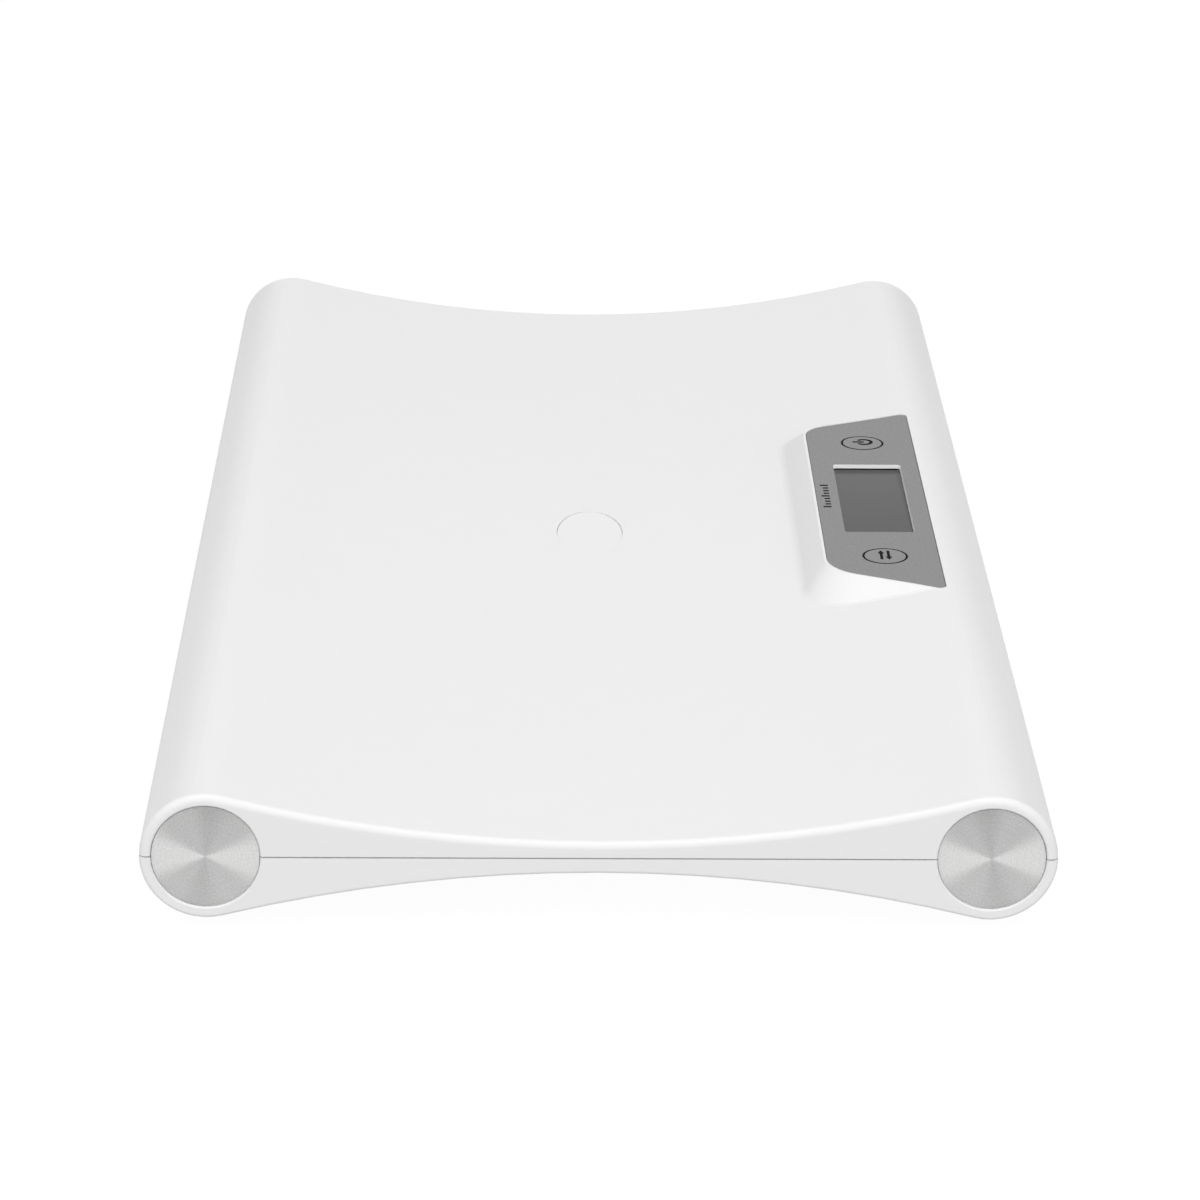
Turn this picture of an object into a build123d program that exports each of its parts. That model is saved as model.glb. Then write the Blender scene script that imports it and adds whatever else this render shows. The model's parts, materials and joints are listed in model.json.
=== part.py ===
"""Digital baby weighing scale.

Two white moulded shells meet at mid height. Their section is a concave lying surface and a
concave underside between two round rolls, carried straight through the whole length, with a
spun metal disc let into each end of both rolls. A raised fairing on the front roll carries the
bezel plate with the display and two keys. Four strain-gauge load cells stand over four feet,
and three AAA cells lie behind a hinged door in the underside.

Millimetres. X runs along the length, to the right of the person who reads the display.
The display is on the -Y side. Z is up, with the floor at 0 and the origin under the middle.
Heights named h_... are measured from the split plane between the two shells.
"""
from math import cos, pi, radians, sin, sqrt, tan
import os

from build123d import *

os.makedirs("parts", exist_ok=True)

# ---- driving dimensions -------------------------------------------------------------------
# Body
length = 610.0
width = 310.0
roll_radius = 22.4
centre_half = 5.6              # half thickness on the centre line
foot_stand_off = 4.6           # from the underside of the rolls to the floor
wall = 2.4
end_wall = 3.0
split_gap = 0.5                # open joint line between the shells
end_fillet_top = 2.5
end_fillet_bottom = 1.2
lip_thickness = 1.0            # tongue of the bottom shell inside the top shell
lip_height = 1.8
lip_gap = 0.2
lip_root = 3.0                 # depth of the tongue's foot below the split plane
lip_bite = 1.0                 # how far that foot runs into the wall
lip_end_gap = 2.0              # between the tongue across each end and the rolls

# End caps
cap_radius = 18.3
cap_thickness = 1.2
cap_recess = 1.0               # face of the disc below the end face
cap_chamfer = 0.1
cap_pad_radius = 17.0
cap_pad_thickness = 0.3
cap_hole_gap = 0.2
cap_drop = 0.18                # the discs rest on the lower side of their recesses
cap_hole_chamfer = 0.5
cap_seat_wall = 2.2
through = 5.0                  # cuts that only have to run clear of what they cut
overlap = 0.5                  # how far a boss or rib runs into what carries it
hollow_reach = 1.0             # how far the hollows are cut past the split plane
tiny = 0.01

# Display panel, fairing and keys
panel_x = 2.5                  # middle between the two keys
plate_x = 3.4                  # middle of the bezel plate
panel_inner_y = -89.9          # long edge nearer the lying surface
panel_outer_y = -133.0         # long edge on the crest of the roll
panel_half = 84.5              # half length at the inner edge, before the corners are rounded
panel_slant = 25.5             # ends, degrees from the Y axis
panel_corner_near = 18.5       # the rounder corner, at the left-hand end
panel_corner_far = 13.5
panel_flare = 0.7              # extra length of the ends where they run onto the roll
panel_flare_y = -121.5
panel_flare_radius = 26.0
panel_outer_corner = 2.2
panel_thickness = 1.5
h_panel = 22.1
panel_gap = 0.25
adhesive_thickness = 0.15
adhesive_inset = 1.0
rim = 1.2
h_fairing = 22.34
fairing_outer_y = -131.2
fairing_end_slope = 31.0       # degrees from level
fairing_inner_slope = 52.0
fairing_corner_growth = 0.8    # added to the corner radii for each millimetre of drop
fairing_foot_radius = 5.0
foot_edge_tolerance = 0.2      # these four find the edges along the fairing's foot
foot_edge_half_x = 110.0
foot_edge_outer_y = -120.0
foot_edge_inner_y = -75.0
h_fairing_root = 7.0
pocket_floor = 1.8
key_line_y = -112.4
key_spacing = 68.0             # each side of the panel's middle
key_radius = 8.05
key_hole_gap = 0.55
key_stand = 0.05               # above the face of the plate
key_edge = 0.2
key_flange = 9.5
key_flange_thickness = 1.0
key_flange_gap = 0.25          # below the floor of the pocket
key_floor_gap = 0.6
key_stem = 2.6
seat_margin = 2.0              # the floor of the pocket reaches this far past the plate
h_seat_top = 21.1
opening_margin = 1.0           # round the glass
window_length = 81.0
window_width = 27.3
window_bevel = 0.3
window_corner = 1.2

# Display and circuit board
glass_length = 90.0
glass_width = 34.0
glass_thickness = 2.4
polarizer_thickness = 0.2
h_glass_top = 20.3
board_length = 185.0
board_width = 40.0
board_y = -111.0
board_thickness = 1.6
h_board_top = 9.6
board_corner = 2.0
board_boss = 3.2
board_screw_x = 80.0           # each side of the middle of the board
board_screw_y = (-99.0, -126.0)
board_screw_radius = 1.1
board_head_radius = 2.0
board_head_height = 1.5
h_board_screw_top = 14.6
holder_length = 96.0
holder_width = 40.0
h_holder_top = 18.5
zebra_width = 2.0
zebra_length = 80.0
zebra_offset = 15.5
holder_gap = 0.2               # round the glass and the rubber strips
holder_frame = 3.0             # the holder's inner ledge under the glass
film_margin = 1.5
film_border_x = 9.0            # the active film stops short of the glass at the right
film_turn = 0.9                # degrees, as the film was laid on by hand
film_border_y = 3.0            # and along its outer side
switch_side = 6.0
switch_height = 3.5
switch_floor = 1.0
switch_leg = (1.4, 0.7, 0.4)
plunger_radius = 1.7
plunger_gap = 0.3
plunger_depth = 1.5            # how far the plunger reaches into its switch
h_plunger_top = 15.4
chip_side = 10.0
chip_height = 1.4
chip_stand_off = 0.2
chip_chamfer = 0.3
leg_count = 8
leg_pitch = 1.0
leg_reach = 1.2
leg_width = 0.4
leg_height = 0.5
component_size = (2.0, 1.25, 0.8)
component_grid = (4.5, 6.0, 14, 3)
component_y = -109.0
capacitor_radius = 2.5
capacitor_height = 3.2
capacitor_x = 40.0
capacitor_y = -123.0
connector_length = 8.0
connector_width = 5.0
connector_height = 4.0
connector_x = 60.0             # each side of the middle of the board
front_plug_y = -118.0          # for the leads of the two front cells
rear_plug_y = -106.0           # for the leads of the two rear cells
battery_plug_x = 30.5
battery_plug_y = -97.0

# Load cells and feet
foot_x = 255.0
cell_side = 34.0
cell_thickness = 2.2
h_cell_bottom = -8.2
cell_corner = 3.0
cell_slot = 1.6
tongue_half_x = 8.0
tongue_half_y = 10.0
gauge_length = 8.0
gauge_width = 4.5
gauge_thickness = 0.3
gauge_y = 7.0                  # from the foot's axis
bracket_length = 54.0
bracket_corner = 3.0
bracket_rim = 4.0
bracket_plate = 1.8
bracket_screw = 22.5           # each side of the foot's axis
bracket_boss = 3.8
bracket_head_radius = 2.2
bracket_head_height = 1.8
h_bracket_screw_top = 6.8
hook_half_y = 5.0
hook_gap = 0.3                 # beside the cell
hook_thickness = 1.6
hook_reach = 0.8               # under the cell
hook_lip = 1.0
foot_radius = 15.5
foot_neck = 10.0
foot_stem = 4.5
foot_pin = 2.0
foot_barb = 3.0
foot_barb_height = 1.2
foot_floor_gap = 1.0           # from the cup's rim to the floor
foot_shoulder_z = 12.5
foot_neck_z = 15.0
foot_pin_gap = 0.1
foot_rim_fillet = 0.6
pad_radius = 14.0
pad_thickness = 2.5
pad_gap = 0.1
pad_chamfer = 0.4
foot_hole_radius = 16.2
foot_collar = 1.6
h_collar_top = -10.5

# Batteries, their bay and its door
battery_radius = 5.1
battery_length = 44.5
battery_fillet = 0.4
battery_nub = 1.0
battery_nub_radius = 1.9
battery_pitch = 11.2
battery_y = -104.0
h_battery = -5.25
bay_half_x = 29.2
bay_inner_y = -82.8
bay_outer_y = -121.1
bay_wall = 1.6
bay_bulkhead = 25.5
bulkhead_height = 9.9
h_bay_ceiling = 0.5
door_gap = 0.6
door_edge_gap = 0.8
door_thickness = 2.0
hinge_y = -124.5
h_hinge = -18.9
hinge_radius = 1.9
hinge_clearance = 3.2
hinge_bar_top = 2.7            # above the pin
arm_gap = 0.4                  # beside each arm
arm_notch_reach = 4.0
arm_thickness = 2.2
arm_overlap = 1.5
arm_bore_gap = 0.3
pin_bore_gap = 0.05
hinge_arm_inner = 11.0
hinge_arm_outer = 22.0
pin_radius = 0.9
pin_half = 27.0
latch_half = 5.0
latch_thickness = 1.0
latch_width = 2.5              # between the middles of its two legs
latch_bend = 1.2
h_latch_top = -6.4
h_latch_root = -11.0
h_latch_tip = -12.4
h_tooth_bottom = -9.5
h_tooth_top = -7.6
tooth_reach = 2.8
latch_slot_margin = 1.0
latch_slot_gap = 0.4
latch_notch_gap = 0.6
latch_notch = 3.0
latch_door_gap = 0.3
contact_thickness = 0.4
contact_half_y = 3.0
contact_low_share = 0.85       # of the battery's radius, where the leaf turns towards it
contact_high_share = 0.7       # and where its free end stops
contact_tab = 0.8              # above the ceiling of the bay

# Centre badge
badge_x = 6.0
badge_length = 51.0
badge_width = 26.0
badge_recess = 1.0
badge_thickness = 0.6
badge_fillet = 0.15
badge_gap = 0.15

# Fasteners
screw_row_y = 102.0
screw_front_x = (-205.0, -125.0, 125.0, 205.0)
screw_rear_x = (-205.0, -125.0, 0.0, 125.0, 205.0)
screw_end_x = 286.0            # short screws at the two ends of the platform
boss_radius = 4.2
boss_gap = 0.3                 # between the bosses of the two shells
screw_radius = 1.4
screw_gap = 0.1
screw_clearance = 0.2
screw_tip_gap = 0.5
head_radius = 2.8
head_height = 2.0
head_gap = 0.3
recess_length = 3.0
recess_width = 0.7
recess_depth = 1.0
h_boss_split = -6.0
h_head_seat = -9.5
h_screw_top = 6.0
h_end_seat = -3.0
h_end_top = 2.6

# Leads and ribs
lead_diameter = 1.8
battery_lead_diameter = 1.4
lead_exit_y = 11.0             # from the foot's axis to where the lead leaves the cell
lead_start = 7.0               # straight stretch beside the cell
plug_run = 6.0                 # straight stretch into a plug
plug_approach = 13.5
battery_plug_pole = 1.2        # each side of the plug's middle
lead_cross_x = 42.0            # where the rear leads cross the platform
bend_share = 0.45              # part of the shorter run that a bend takes up
rib = 1.4
rib_gap = 0.5                  # from the split plane to the ribs of each shell
rib_reach_y = 80.0
cross_rib_x = (-270.0, -225.0, -180.0, -135.0, -90.0, 90.0, 135.0, 180.0, 225.0, 270.0)
long_rib_y = (-60.0, -30.0, 0.0, 30.0, 60.0)
rib_notch = 14.0
rib_end_gap = 2.5              # room for the tongue at both ends of the long ribs

# ---- worked out from them -----------------------------------------------------------------
# The concave arcs touch the rolls with a common tangent.
arc_middle = radians(50.0)     # a point that each roll's arc is drawn through
end_x = length / 2
mid = foot_stand_off + roll_radius
roll_y = width / 2 - roll_radius
arc_radius = (roll_y**2 + centre_half**2 - roll_radius**2) / (2 * (roll_radius - centre_half))
arc_centre = centre_half + arc_radius
h_panel_bottom = h_panel - panel_thickness
h_pocket = h_panel_bottom - adhesive_thickness
h_pocket_under = h_pocket - pocket_floor
h_key_bottom = h_pocket_under - key_flange_gap - key_flange_thickness
h_board_bottom = h_board_top - board_thickness
h_switch_top = h_board_top + switch_height
h_glass_bottom = h_glass_top - glass_thickness
h_cell_top = h_cell_bottom + cell_thickness
h_hook_top = h_cell_bottom - hook_gap
hook_inner = cell_side / 2 + hook_gap
cap_face_x = end_x - cap_recess
cap_back_x = cap_face_x - cap_thickness
cap_seat_x = cap_back_x - cap_pad_thickness
key_x = {"power": panel_x + key_spacing, "unit": panel_x - key_spacing}
corners = {
    "front_left": (-1, -1),
    "front_right": (1, -1),
    "rear_left": (-1, 1),
    "rear_right": (1, 1),
}
board_screws_at = [(panel_x + way * board_screw_x, y) for way in (-1, 1) for y in board_screw_y]
feet_at = [(sx * foot_x, sy * roll_y) for sx, sy in corners.values()]
bracket_screws_at = [(x + way * bracket_screw, y) for x, y in feet_at for way in (-1, 1)]
shell_screws_at = [(x, -screw_row_y) for x in screw_front_x] + [(x, screw_row_y) for x in screw_rear_x]
end_screws_at = [(-screw_end_x, 0.0), (screw_end_x, 0.0)]


# ---- shapes used more than once -----------------------------------------------------------
def body_section(side, base, inset=0.0):
    """Half of the body's cross-section above (side 1) or below (side -1) the split plane."""
    r = roll_radius - inset
    share = r / (arc_radius + roll_radius)
    tangent_y = roll_y * (1 - share)
    tangent_h = arc_centre * share
    edge_y = roll_y + sqrt(r * r - base * base)
    bend_y = roll_y + r * cos(arc_middle)
    bend_h = r * sin(arc_middle)
    with BuildSketch(Plane.YZ) as section:
        with BuildLine():
            for way in (-1, 1):
                ThreePointArc(
                    (way * edge_y, mid + side * base),
                    (way * bend_y, mid + side * bend_h),
                    (way * tangent_y, mid + side * tangent_h),
                )
            ThreePointArc(
                (-tangent_y, mid + side * tangent_h),
                (0, mid + side * (centre_half - inset)),
                (tangent_y, mid + side * tangent_h),
            )
            Line((edge_y, mid + side * base), (-edge_y, mid + side * base))
        make_face()
    return section.sketch


def surface_height(y):
    """Height of the outer surface above the split plane."""
    y = abs(y)
    if y < roll_y * arc_radius / (arc_radius + roll_radius):
        return arc_centre - sqrt(arc_radius**2 - y**2)
    return sqrt(max(roll_radius**2 - (y - roll_y) ** 2, 0.0))


def on_fairing_foot(edge):
    """True for an edge where the fairing's walls leave the lying surface."""
    middle = edge.position_at(0.5)
    on_surface = abs(middle.Z - mid - surface_height(middle.Y)) < foot_edge_tolerance
    near_x = abs(middle.X - panel_x) < foot_edge_half_x
    near_y = foot_edge_outer_y < middle.Y < foot_edge_inner_y
    near_panel = near_x and near_y
    return on_surface and near_panel


def cap_hole_edges(shell):
    """Rims of the round recesses in the two end faces."""
    circles = shell.edges().filter_by(GeomType.CIRCLE)
    outer = [edge for edge in circles if abs(abs(edge.position_at(0.5).X) - end_x) < tiny]
    return [edge for edge in outer if abs(edge.radius - cap_radius - cap_hole_gap) < tiny]


def end_half(y, out_end):
    """Half length of the panel's outline at y, with its slanted ends moved out."""
    slant = radians(panel_slant)
    return panel_half + (panel_inner_y - y) * tan(slant) + out_end / cos(slant)


def round_inner_corners(outline, near, far):
    """Rounds the two corners of an outline that lie nearest the lying surface."""
    fillet(outline.vertices().group_by(Axis.Y)[-1].sort_by(Axis.X)[0], near)
    fillet(outline.vertices().group_by(Axis.Y)[-1].sort_by(Axis.X)[-1], far)


def panel_outline(height, out):
    """Face of the bezel plate's outline at a height, grown by out all round."""
    inner_y = panel_inner_y + out
    outer_y = panel_outer_y - out
    rows = (inner_y, panel_flare_y, outer_y)
    halves = [end_half(y, out) for y in rows]
    halves[-1] += panel_flare
    right = [(plate_x + half, y) for half, y in zip(halves, rows)]
    left = [(plate_x - half, y) for half, y in zip(halves, rows)]
    with BuildSketch(Plane.XY.offset(mid + height)) as outline:
        with BuildLine():
            Polyline(*right, *reversed(left), close=True)
        make_face()
        round_inner_corners(outline, panel_corner_near + out, panel_corner_far + out)
        flare = outline.vertices().filter_by_position(Axis.Y, panel_flare_y - tiny, panel_flare_y + tiny)
        fillet(flare, panel_flare_radius)
        fillet(outline.vertices().group_by(Axis.Y)[0], panel_outer_corner + out)
    return outline.sketch


def fairing_outline(height, inset=0.0):
    """Face of the fairing at a height, following its sloped walls, moved inward by inset."""
    drop = h_fairing - height
    end_slope = radians(fairing_end_slope)
    inner_slope = radians(fairing_inner_slope)
    out_end = rim + drop / tan(end_slope) - inset / sin(end_slope)
    inner_y = panel_inner_y + rim + drop / tan(inner_slope) - inset / sin(inner_slope)
    growth = rim + fairing_corner_growth * drop - inset / 2
    inner_half = end_half(inner_y, out_end)
    outer_half = end_half(fairing_outer_y, out_end)
    with BuildSketch(Plane.XY.offset(mid + height)) as outline:
        with BuildLine():
            Polyline(
                (plate_x - inner_half, inner_y),
                (plate_x + inner_half, inner_y),
                (plate_x + outer_half, fairing_outer_y),
                (plate_x - outer_half, fairing_outer_y),
                close=True,
            )
        make_face()
        round_inner_corners(outline, panel_corner_near + growth, panel_corner_far + growth)
    return outline.sketch


def corner_radii(points):
    """Largest bend radii that the runs of a route allow."""
    stops = [Vector(*point) for point in points]
    radii = []
    for before, here, after in zip(stops, stops[1:], stops[2:]):
        run_in = here - before
        run_out = after - here
        turn = radians(run_in.get_angle(run_out))
        radii.append(bend_share * min(run_in.length, run_out.length) / tan(turn / 2))
    return radii


def make_lead(name, points, diameter):
    """Round lead along straight runs joined by tangent arcs."""
    radii = corner_radii(points)
    with BuildPart() as lead:
        with BuildLine():
            route = FilletPolyline(*points, radius=radii)
        with BuildSketch(Plane(origin=route @ 0, z_dir=route % 0)):
            Circle(diameter / 2)
        sweep()
    ratio = lead.part.volume / (pi * diameter**2 / 4 * route.length)
    print(name, "bend radii", [round(r, 1) for r in radii], "volume ratio", round(ratio, 4))
    return lead.part


# ---- body form and shells -----------------------------------------------------------------
# The whole outer form, used to trim everything that is moulded inside it.
with BuildPart() as body_form:
    for half in (1, -1):
        extrude(body_section(half, 0), amount=end_x, both=True)
    loft(sections=[fairing_outline(h_fairing_root), fairing_outline(h_fairing)])

# Ribs, bosses and seats of the top shell
with BuildPart() as top_inside:
    # Ribs under the lying surface, open where the rear leads cross
    with BuildSketch(Plane.XY.offset(mid + rib_gap)):
        with Locations(*[(x, 0) for x in cross_rib_x]):
            Rectangle(rib, 2 * rib_reach_y)
        with Locations(*[(0, y) for y in long_rib_y]):
            Rectangle(length - 2 * end_wall - 2 * rib_end_gap, rib)
        with Locations((-lead_cross_x, 0), (lead_cross_x, 0)):
            Rectangle(rib_notch, 2 * rib_reach_y, mode=Mode.SUBTRACT)
    extrude(amount=roll_radius)
    # Bosses for the screws that hold the shells together
    with BuildSketch(Plane.XY.offset(mid + h_boss_split)):
        with Locations(*shell_screws_at):
            Circle(boss_radius)
    extrude(amount=2 * roll_radius)
    with BuildSketch(Plane.XY.offset(mid + boss_gap / 2)):
        with Locations(*end_screws_at):
            Circle(boss_radius)
    extrude(amount=roll_radius)
    # Bosses for the load cell brackets
    with BuildSketch(Plane.XY.offset(mid + split_gap / 2)):
        with Locations(*bracket_screws_at):
            Circle(bracket_boss)
    extrude(amount=roll_radius)
    # Floor under the bezel plate, and bosses for the circuit board below it
    extrude(panel_outline(h_pocket_under, seat_margin), amount=h_seat_top - h_pocket_under)
    with BuildSketch(Plane.XY.offset(mid + h_board_top)):
        with Locations(*board_screws_at):
            Circle(board_boss)
    extrude(amount=h_pocket_under + overlap - h_board_top)
    # Seats behind the end caps
    for end in (-1, 1):
        with BuildSketch(Plane.YZ.offset(end * (cap_seat_x - cap_seat_wall))):
            with Locations((-roll_y, mid), (roll_y, mid)):
                Circle(roll_radius - wall / 2)
            with Locations((0, mid + split_gap / 2)):
                Rectangle(width, 2 * roll_radius, align=(Align.CENTER, Align.MIN), mode=Mode.INTERSECT)
        extrude(amount=end * (cap_seat_wall + overlap))
    add(body_form.part, mode=Mode.INTERSECT)

with BuildPart() as top_shell:
    extrude(body_section(1, split_gap / 2), amount=end_x, both=True)
    for end_edges in (top_shell.edges().group_by(Axis.X)[0], top_shell.edges().group_by(Axis.X)[-1]):
        fillet(end_edges.filter_by(GeomType.CIRCLE), end_fillet_top)
    loft(sections=[fairing_outline(h_fairing_root), fairing_outline(h_fairing)])
    # Soft foot where the fairing runs out onto the lying surface
    fillet([edge for edge in top_shell.edges() if on_fairing_foot(edge)], fairing_foot_radius)
    # Hollow
    extrude(body_section(1, -hollow_reach, wall), amount=end_x - end_wall, both=True, mode=Mode.SUBTRACT)
    loft(
        sections=[fairing_outline(h_fairing_root, wall), fairing_outline(h_pocket_under, wall)],
        mode=Mode.SUBTRACT,
    )
    add(top_inside.part)
    # Pocket for the bezel plate, with the display and key openings in its floor
    extrude(panel_outline(h_pocket, panel_gap), amount=through, mode=Mode.SUBTRACT)
    with BuildSketch(Plane.XY.offset(mid + h_pocket_under - overlap)):
        with Locations((panel_x, key_line_y)):
            Rectangle(glass_length + 2 * opening_margin, glass_width + 2 * opening_margin)
        with Locations(*[(x, key_line_y) for x in key_x.values()]):
            Circle(key_radius + key_floor_gap)
    extrude(amount=through, mode=Mode.SUBTRACT)
    # Recess for the badge
    with BuildSketch(Plane.XY.offset(mid + centre_half - badge_recess)):
        with Locations((badge_x, 0)):
            Ellipse(badge_length / 2 + badge_gap, badge_width / 2 + badge_gap)
    extrude(amount=through, mode=Mode.SUBTRACT)
    # Round recesses for the end caps
    for end in (-1, 1):
        with BuildSketch(Plane.YZ.offset(end * cap_seat_x)):
            with Locations((-roll_y, mid), (roll_y, mid)):
                Circle(cap_radius + cap_hole_gap)
        extrude(amount=end * through, mode=Mode.SUBTRACT)
    chamfer(cap_hole_edges(top_shell), cap_hole_chamfer)
    # Pilot holes
    with BuildSketch(Plane.XY.offset(mid + h_boss_split)):
        with Locations(*shell_screws_at):
            Circle(screw_radius + screw_gap)
    extrude(amount=h_screw_top + screw_tip_gap - h_boss_split, mode=Mode.SUBTRACT)
    with BuildSketch(Plane.XY.offset(mid)):
        with Locations(*end_screws_at):
            Circle(screw_radius + screw_gap)
    extrude(amount=h_end_top + screw_tip_gap, mode=Mode.SUBTRACT)
    with BuildSketch(Plane.XY.offset(mid)):
        with Locations(*bracket_screws_at):
            Circle(board_screw_radius + screw_gap)
    extrude(amount=h_bracket_screw_top + screw_tip_gap, mode=Mode.SUBTRACT)
    with BuildSketch(Plane.XY.offset(mid + h_board_top)):
        with Locations(*board_screws_at):
            Circle(board_screw_radius + screw_gap)
    extrude(amount=h_board_screw_top + screw_tip_gap - h_board_top, mode=Mode.SUBTRACT)

# Ribs, bosses, battery bay and seats of the bottom shell
with BuildPart() as bottom_inside:
    # Ribs under the lying surface, open where the rear leads cross
    with BuildSketch(Plane.XY.offset(mid - rib_gap)):
        with Locations(*[(x, 0) for x in cross_rib_x]):
            Rectangle(rib, 2 * rib_reach_y)
        with Locations(*[(0, y) for y in long_rib_y]):
            Rectangle(length - 2 * end_wall, rib)
        with Locations((-lead_cross_x, 0), (lead_cross_x, 0)):
            Rectangle(rib_notch, 2 * rib_reach_y, mode=Mode.SUBTRACT)
    extrude(amount=-roll_radius)
    # Bosses for the screws
    with BuildSketch(Plane.XY.offset(mid + h_boss_split - boss_gap)):
        with Locations(*shell_screws_at):
            Circle(boss_radius)
    extrude(amount=-roll_radius)
    with BuildSketch(Plane.XY.offset(mid - boss_gap / 2)):
        with Locations(*end_screws_at):
            Circle(boss_radius)
    extrude(amount=-roll_radius)
    # Collars around the feet
    with BuildSketch(Plane.XY.offset(mid + h_collar_top)):
        with Locations(*feet_at):
            Circle(foot_hole_radius + foot_collar)
    extrude(amount=-roll_radius)
    # Battery bay with its ceiling, and the bar that carries the hinge pin
    with BuildSketch(Plane.XY.offset(mid + h_bay_ceiling + pocket_floor)):
        with Locations((0, (bay_inner_y + bay_outer_y) / 2)):
            Rectangle(2 * (bay_half_x + bay_wall), bay_inner_y - bay_outer_y + 2 * bay_wall)
    extrude(amount=-2 * roll_radius)
    with BuildSketch(Plane.YZ.offset(-pin_half)):
        with Locations((hinge_y, mid + h_hinge + hinge_bar_top)):
            Rectangle(2 * hinge_radius, roll_radius, align=(Align.CENTER, Align.MAX))
    extrude(amount=2 * pin_half)
    # Tongue that centres the top shell
    with BuildSketch(Plane.XY.offset(mid - lip_root)):
        for way in (-1, 1):
            with Locations((0, way * (width / 2 - wall - lip_gap - lip_thickness / 2))):
                Rectangle(length - 4 * end_wall, lip_thickness)
            with Locations((way * (end_x - end_wall - lip_gap - lip_thickness / 2), 0)):
                Rectangle(lip_thickness, 2 * (roll_y - roll_radius - lip_end_gap))
    extrude(amount=lip_root + lip_height)
    # The tongue's foot joins it to the wall
    with BuildSketch(Plane.XY.offset(mid - lip_root)):
        Rectangle(length - 2 * lip_bite, width - 2 * lip_bite)
        Rectangle(length - 2 * (end_wall + lip_gap), width - 2 * (wall + lip_gap), mode=Mode.SUBTRACT)
        for way in (-1, 1):
            with Locations((way * end_x, -roll_y), (way * end_x, roll_y)):
                Rectangle(4 * end_wall, 2 * (roll_radius + lip_end_gap), mode=Mode.SUBTRACT)
    extrude(amount=lip_root - split_gap / 2)
    # Seats behind the end caps
    for end in (-1, 1):
        with BuildSketch(Plane.YZ.offset(end * (cap_seat_x - cap_seat_wall))):
            with Locations((-roll_y, mid), (roll_y, mid)):
                Circle(roll_radius - wall / 2)
            with Locations((0, mid - split_gap / 2)):
                Rectangle(width, 2 * roll_radius, align=(Align.CENTER, Align.MAX), mode=Mode.INTERSECT)
        extrude(amount=end * (cap_seat_wall + overlap))
    add(body_form.part, mode=Mode.INTERSECT)

with BuildPart() as bottom_shell:
    extrude(body_section(-1, split_gap / 2), amount=end_x, both=True)
    for end_edges in (bottom_shell.edges().group_by(Axis.X)[0], bottom_shell.edges().group_by(Axis.X)[-1]):
        fillet(end_edges.filter_by(GeomType.CIRCLE), end_fillet_bottom)
    extrude(body_section(-1, -hollow_reach, wall), amount=end_x - end_wall, both=True, mode=Mode.SUBTRACT)
    add(bottom_inside.part)
    # Inside of the battery bay, open below, with the two bulkheads that carry the contacts
    with BuildSketch(Plane.XY.offset(mid + h_bay_ceiling)):
        with Locations((0, (bay_inner_y + bay_outer_y) / 2)):
            Rectangle(2 * bay_half_x, bay_inner_y - bay_outer_y)
    extrude(amount=-2 * roll_radius, mode=Mode.SUBTRACT)
    with BuildSketch(Plane.XY.offset(mid + h_bay_ceiling + overlap)):
        for way in (-1, 1):
            with Locations((way * (bay_bulkhead + bay_wall / 2), (bay_inner_y + bay_outer_y) / 2)):
                Rectangle(bay_wall, bay_inner_y - bay_outer_y + bay_wall)
    extrude(amount=-bulkhead_height - overlap)
    # Notches for the hinge arms of the door, the bore of the pin and the slot of the latch
    for way in (-1, 1):
        with BuildSketch(Plane.YZ.offset(way * (hinge_arm_inner - arm_gap))):
            with Locations((hinge_y, mid + h_hinge), (hinge_y + arm_notch_reach, mid + h_hinge)):
                Rectangle(2 * hinge_clearance, 2 * hinge_clearance)
        extrude(amount=way * (hinge_arm_outer - hinge_arm_inner + 2 * arm_gap), mode=Mode.SUBTRACT)
    with BuildSketch(Plane.YZ.offset(-pin_half)):
        with Locations((hinge_y, mid + h_hinge)):
            Circle(pin_radius + pin_bore_gap)
    extrude(amount=2 * pin_half, mode=Mode.SUBTRACT)
    with BuildSketch(Plane.XY.offset(mid + h_tooth_bottom - latch_slot_gap)):
        with Locations((0, bay_inner_y + bay_wall / 2)):
            Rectangle(2 * (latch_half + latch_slot_margin), 2 * bay_wall)
    extrude(amount=h_tooth_top - h_tooth_bottom + 3 * latch_slot_gap, mode=Mode.SUBTRACT)
    # Holes for the feet
    with BuildSketch(Plane.XY.offset(mid + h_collar_top + overlap)):
        with Locations(*feet_at):
            Circle(foot_hole_radius)
    extrude(amount=-roll_radius, mode=Mode.SUBTRACT)
    # Screw holes with deep counterbores from below
    for places, h_seat in ((shell_screws_at, h_head_seat), (end_screws_at, h_end_seat)):
        with BuildSketch(Plane.XY.offset(mid)):
            with Locations(*places):
                Circle(screw_radius + screw_clearance)
        extrude(amount=-2 * roll_radius, mode=Mode.SUBTRACT)
        with BuildSketch(Plane.XY.offset(mid + h_seat)):
            with Locations(*places):
                Circle(head_radius + head_gap)
        extrude(amount=-2 * roll_radius, mode=Mode.SUBTRACT)
    # Round recesses for the end caps
    for end in (-1, 1):
        with BuildSketch(Plane.YZ.offset(end * cap_seat_x)):
            with Locations((-roll_y, mid), (roll_y, mid)):
                Circle(cap_radius + cap_hole_gap)
        extrude(amount=end * through, mode=Mode.SUBTRACT)
    chamfer(cap_hole_edges(bottom_shell), cap_hole_chamfer)

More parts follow.
